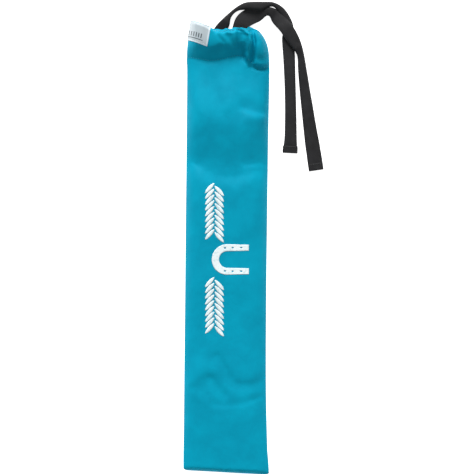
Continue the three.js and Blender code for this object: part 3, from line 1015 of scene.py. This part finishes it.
def make_held_tape():
    """The middle of the tie, round inside the casing."""
    share = np.linspace(-1, 1, HELD_COLUMNS)
    middle = (casing_seam(share) + mouth_edge(share)) / 2
    rings = [
        shell_ring(middle + off, HEM_INSET / 2, share)
        for off in np.linspace(*HELD_SPAN, HELD_ROWS)
    ]
    around = len(rings[0])
    held = piece(
        "tie_in_casing",
        np.concatenate(rings),
        grid_faces(len(rings), around, around=True),
        TAPE,
        ["drawstring_in_casing"],
    )
    thicken(held, HELD_THICKNESS)


make_seams()
make_held_tape()


# Stitching


ROW_STITCH = 3.0
ROW_GAP = 1.1
ROW_REACH = 0.97  # share of the way to each side
THREAD_RISE = 0.1  # above the cloth
OVERLOCK_DEPTH = 3.0
OVERLOCK_PITCH = 1.7
OVERLOCK_START = -0.3  # to the left of this the label covers the edge
NORMAL_STEP = 0.8
UP = (0, 0, 1)


def on_front(x, y):
    """A point of thread lying on the front."""
    return np.array([x, y, float(surface_height(x, y)) + THREAD_RISE])


def front_normal(x, y):
    """The direction straight out of the front."""
    step = NORMAL_STEP
    dx = float(surface_height(x + step, y) - surface_height(x - step, y)) / (2 * step)
    dy = float(surface_height(x, y + step) - surface_height(x, y - step)) / (2 * step)
    normal = np.array([-dx, -dy, 1.0])
    return normal / np.linalg.norm(normal)


def place_across(share, y):
    """The x of a place so far across the bag, from -1 to 1."""
    left, right = float(left_side(y)), float(right_side(y))
    return (left + right) / 2 + share * (right - left) / 2


def front_stitch(places):
    """A stitch between two places on the front, each a share across and a y."""
    start, end = (on_front(place_across(share, y), y) for share, y in places)
    x, y, _ = (start + end) / 2
    return start, end, front_normal(x, y)


def front_row(height_of):
    """Stitches along a line across the front."""
    stitches = []
    share, stitch = -ROW_REACH, ROW_STITCH / HALF_WIDTH
    step = (ROW_STITCH + ROW_GAP) / HALF_WIDTH
    while share + step < ROW_REACH:
        ends = [(at, float(height_of(at))) for at in (share, share + stitch)]
        stitches.append(front_stitch(ends))
        share += step
    return stitches


BACK_REACH = 0.9  # share of the way to each side


def back_row(height_of):
    """Stitches along a line across the inside of the back casing."""
    stitches = []
    for share in np.arange(-BACK_REACH, BACK_REACH, (ROW_STITCH + ROW_GAP) / HALF_WIDTH):
        y = float(height_of(share))
        x = place_across(share, y)
        z = inner_back_height(x, y)
        stitches.append(((x, y, z), (x + ROW_STITCH, y, z), UP))
    return stitches


def inner_back_height(x, y):
    """How high thread lies on the inside of the back casing."""
    return float(back_height(x, y)) + HEM_INSET + THREAD_RISE


def overlock(height_of):
    """A zigzag of thread along the mouth's edge."""
    stitches = []
    shares = np.arange(OVERLOCK_START, ROW_REACH, OVERLOCK_PITCH / HALF_WIDTH)
    for i, (a, b) in enumerate(zip(shares, shares[1:])):
        ends = [
            (share, float(height_of(share)) - 0.5 - OVERLOCK_DEPTH * (low % 2))
            for share, low in ((a, i), (b, i + 1))
        ]
        stitches.append(front_stitch(ends))
    return stitches


def make_casing_stitches():
    """The casing's lower rows, and the rows at the mouth, on the front and the back."""

    def low(share):
        return casing_seam(share) + 1.2

    def high(share):
        return mouth_edge(share) - 0.2

    def inner_high(share):
        return mouth_edge(share) - 4

    rows = {
        "casing_stitch_front": ("front_casing_stitches", front_row(low)),
        "hem_stitch_front": ("front_mouth_overlock", overlock(high)),
        "casing_stitch_back": ("back_casing_stitches", back_row(low)),
        "hem_stitch_back": ("back_hem_stitches", back_row(inner_high)),
    }
    for node, (name, stitches) in rows.items():
        make_stitches(name, stitches, TURQUOISE_THREAD, [node])


SLOT_STITCH = 1.1  # each way from the border's line
SLOT_PITCH = 0.7
SLOT_SLANT = 0.3
SLOT_SIDE = 2.2  # from the slot's middle to its borders
SLOT_END = 3


def make_slot_borders():
    """Satin-stitched edges of the two slots inside the mouth, close threads across a ring."""
    for side in ("left", "right"):
        low, high = (np.array(corner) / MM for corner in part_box(f"slot_stitch_{side}"))
        x_middle = (low[0] + high[0]) / 2
        y_low, y_high = low[1] + 1, high[1] - 1
        stitches = []
        for y in np.arange(y_low, y_high, SLOT_PITCH):
            for x in (x_middle - SLOT_SIDE, x_middle + SLOT_SIDE):
                z = inner_back_height(x, y)
                ends = ((x - SLOT_STITCH, y, z), (x + SLOT_STITCH, y + SLOT_SLANT, z))
                stitches.append((*ends, UP))
        for y in (y_low, y_high):
            for x in np.arange(x_middle - SLOT_END, x_middle + SLOT_END, SLOT_PITCH):
                z = inner_back_height(x, y)
                ends = ((x, y - SLOT_STITCH, z), (x + SLOT_SLANT, y + SLOT_STITCH, z))
                stitches.append((*ends, UP))
        make_stitches(
            f"{side}_slot_border",
            stitches,
            TURQUOISE_THREAD,
            [f"slot_stitch_{side}"],
        )


make_casing_stitches()
make_slot_borders()


# Label

LABEL_CORNERS = {  # as it lies on the front; its left side goes on round to the back
    "top_left": (-59.4, 376.2),
    "top_right": (-24.8, 364.2),
    "low_right": (-30.9, 330.6),
    "low_left": (-65, 343.6),
}
LABEL_THICKNESS = 0.5
LABEL_WEAVE = 0.35  # thickness that the cloth of the label is drawn with
LABEL_RISE = 0.55  # above the cloth under it
LABEL_STITCH_RISE = 1.0
LABEL_CURL = 1.1  # at its loose upper right corner
LABEL_BACK_SHARE = 0.7
LABEL_TURN_SHARE = 0.03  # of the label's width, in its turn round the side
LABEL_STITCH_INSET = 0.07
LABEL_STITCHES = 9  # along each side


def label_place(s, t):
    """A place on the label's front, from its left side to its right and from its foot up."""
    corners = {name: np.array(corner) for name, corner in LABEL_CORNERS.items()}
    low = corners["low_left"] * (1 - s) + corners["low_right"] * s
    top = corners["top_left"] * (1 - s) + corners["top_right"] * s
    return low * (1 - t) + top * t


def label_point(s, t, above=LABEL_RISE):
    """The same as a point in space. Below 0, s goes round the bag's left side to its back."""
    if s >= 0:
        x, y = label_place(s, t)
        edge = float(left_side(y))
        x = max(x, edge - 0.2)
        curl = LABEL_CURL * smoothstep(s, 0.8, 1) * smoothstep(t, 0.72, 1)
        return np.array([x, y, float(surface_height(x, y)) + above + float(curl)])
    x, y = label_place(-s, t)
    edge = float(left_side(y))
    if s > -LABEL_TURN_SHARE:
        front = float(surface_height(edge, y)) + above
        return np.array([edge - 0.9, y, front * 0.55 + 0.1])
    return np.array([max(x, edge - 0.2), y, LABEL_THICKNESS])


def make_label():
    """The label, with its flat pattern's places as UVs, and a line of stitches round it."""
    shares = [*np.linspace(-LABEL_BACK_SHARE, -0.06, 12), -0.02, *np.linspace(0, 1, 34)]
    ups = np.linspace(0, 1, 30)
    places = [(s, t) for t in ups for s in shares]
    label = piece(
        "damask_label",
        [label_point(s, t) for s, t in places],
        grid_faces(len(ups), len(shares)),
        LABEL_SATIN,
        ["woven_label"],
    )
    flat = label.data.uv_layers.new(name="label")
    for loop in label.data.loops:
        flat.data[loop.index].uv = places[loop.vertex_index]
    thicken(label, LABEL_WEAVE, inward=False)

    near, far = LABEL_STITCH_INSET, 1 - LABEL_STITCH_INSET
    corners = [(near, far), (far, far), (far, near), (near, near)]
    stitches = []
    for (s0, t0), (s1, t1) in zip(corners, corners[1:]):
        for i in range(LABEL_STITCHES):
            start, end = (
                label_point(s0 + (s1 - s0) * k, t0 + (t1 - t0) * k, LABEL_STITCH_RISE)
                for k in (i / LABEL_STITCHES, (i + 0.7) / LABEL_STITCHES)
            )
            stitches.append((start, end, front_normal(start[0], start[1])))
    make_stitches("label_stitches", stitches, WHITE_THREAD, ["label_stitch"])


make_label()


# Print: a horseshoe, open to the right, between two plaits

PRINT_GAP = 0.22  # from the cloth to the film of ink
PRINT_FILM = 0.12
SHOE_MIDDLE = (2, -21.5)
SHOE_OUTER = 25.5
SHOE_WIDTH = 12
SHOE_HEEL = 36  # the straight part of each branch
SHOE_TIP_SHARE = 0.82  # of its width that is left at its two ends
SHOE_ROWS = 84
SHOE_COLUMNS = 11
NAIL_COLUMNS = (4, 5)
NAIL_SHARES = (0.1, 0.2, 0.3, 0.7, 0.8, 0.9)  # of the way round
PLAIT_X = -19
PLAITS = {"upper": (9, 105), "lower": (-147, -51)}
STRAND_LENGTH = 22
STRAND_WIDTH = 6.4
STRAND_PITCH = 9.6
STRAND_OFFSET = 8  # of each strand's middle from the plait's
STRAND_LEAN = 42  # degrees from the plait's line
STRAND_ROWS = 14
STRAND_COLUMNS = (-1, -0.33, 0.33, 1)
STRAND_BLUNTNESS = 0.6  # the lower, the blunter its ends


def print_piece(name, points, faces, node):
    """Lays flat points on the front as a thin film."""
    points = np.array(points)
    z = surface_height(points[:, 0], points[:, 1]) + PRINT_GAP
    film = piece(name, np.column_stack([points, z]), faces, INK, [node])
    thicken(film, PRINT_FILM, inward=False)


def shoe_line(travelled, radius):
    """A place on the middle of the shoe's bar and the direction out of it there."""
    bend = math.pi * radius
    if travelled < SHOE_HEEL:
        return np.array([SHOE_HEEL - travelled, radius]), np.array([0, 1])
    if travelled < SHOE_HEEL + bend:
        angle = math.pi / 2 + (travelled - SHOE_HEEL) / radius
        outward = np.array([math.cos(angle), math.sin(angle)])
        return radius * outward, outward
    return np.array([travelled - SHOE_HEEL - bend, -radius]), np.array([0, -1])


def make_horseshoe():
    """The shoe's bar as a grid of points along and across it, with its nail holes left open."""
    radius = SHOE_OUTER - SHOE_WIDTH / 2
    total = 2 * SHOE_HEEL + math.pi * radius
    points = []
    for i in range(SHOE_ROWS + 1):
        share = i / SHOE_ROWS
        widening = (1 - SHOE_TIP_SHARE) * math.sin(math.pi * share)
        half = SHOE_WIDTH / 2 * (SHOE_TIP_SHARE + widening)
        place, outward = shoe_line(total * share, radius)
        points += [
            SHOE_MIDDLE + place + outward * off for off in np.linspace(-half, half, SHOE_COLUMNS)
        ]
    nail_rows = {round(SHOE_ROWS * share) - before for share in NAIL_SHARES for before in (0, 1)}
    faces = []
    for face in grid_faces(SHOE_ROWS + 1, SHOE_COLUMNS):
        row, column = divmod(face[0], SHOE_COLUMNS)
        if column not in NAIL_COLUMNS or row not in nail_rows:
            faces.append(face)
    print_piece("horseshoe_mark", points, faces, "print_horseshoe")


def strand_points(middle, along):
    """One leaf-shaped strand, as rows of points across it."""
    across = np.array([along[1], -along[0]])
    points = []
    for k in range(STRAND_ROWS + 1):
        share = k / STRAND_ROWS
        fullness = math.sin(math.pi * min(max(share, 0.02), 0.98)) ** STRAND_BLUNTNESS
        half = STRAND_WIDTH / 2 * fullness
        at = (share - 0.5) * STRAND_LENGTH
        points += [middle + along * at + across * half * c for c in STRAND_COLUMNS]
    return points


def make_plait(part, y_low, y_high):
    """Leaf-shaped strands, leaning in turn to each side, along the bag."""
    points, faces = [], []
    lean = math.radians(STRAND_LEAN)
    reach = STRAND_LENGTH / 2 * math.cos(lean)
    count = int((y_high - y_low - 2 * reach) / STRAND_PITCH) + 1
    strand_faces = grid_faces(STRAND_ROWS + 1, len(STRAND_COLUMNS))
    for i in range(count):
        for side in (-1, 1):
            x = PLAIT_X + side * STRAND_OFFSET
            y = y_high - reach - i * STRAND_PITCH - (side > 0) * STRAND_PITCH / 2
            along = np.array([-side * math.sin(lean), math.cos(lean)])
            first = len(points)
            points += strand_points(np.array([x, y]), along)
            faces += [tuple(first + v for v in face[::-1]) for face in strand_faces]
    print_piece(f"{part}_plait_mark", points, faces, f"print_band_{part}")


make_horseshoe()
for part, (y_low, y_high) in PLAITS.items():
    make_plait(part, y_low, y_high)


# Floor and light

FLOOR_REACH = 4.0  # metres
WORLD_STRENGTH = 0.33
# Each lamp: the direction that its light comes from, its strength, and its softness in degrees
LAMPS = {
    "key_light": ((-0.16, 1.0, 0.62), 3.6, 22),
    "fill_light": ((0.6, -0.5, 1.0), 0.25, 60),
}


def make_floor():
    floor_mesh = bpy.data.meshes.new("pale_floor")
    reach = FLOOR_REACH
    floor_mesh.from_pydata(
        [(-reach, -reach, 0), (reach, -reach, 0), (reach, reach, 0), (-reach, reach, 0)],
        [],
        [(0, 1, 2, 3)],
    )
    floor = bpy.data.objects.new("pale_floor", floor_mesh)
    bpy.context.collection.objects.link(floor)
    paper, tree, _ = start_material("white_paper_sweep")
    finish_material(
        tree,
        Base_Color=linear("#fbfbfb"),
        Roughness=0.9,
        Specular_IOR_Level=0.1,
        Emission_Color=(1, 1, 1, 1),
        Emission_Strength=0.85,
    )
    floor_mesh.materials.append(paper)


def make_light():
    world = bpy.data.worlds.new("soft_room")
    world.use_nodes = True
    background = world.node_tree.nodes["Background"]
    background.inputs["Color"].default_value = (1, 1, 1, 1)
    background.inputs["Strength"].default_value = WORLD_STRENGTH
    bpy.context.scene.world = world
    for name, (towards, strength, softness) in LAMPS.items():
        lamp_data = bpy.data.lights.new(name, "SUN")
        lamp_data.energy = strength
        lamp_data.angle = math.radians(softness)
        lamp = bpy.data.objects.new(name, lamp_data)
        lamp.rotation_euler = Vector(towards).to_track_quat("Z", "Y").to_euler()
        bpy.context.collection.objects.link(lamp)
    bpy.context.scene.view_settings.view_transform = "Standard"


make_floor()
make_light()
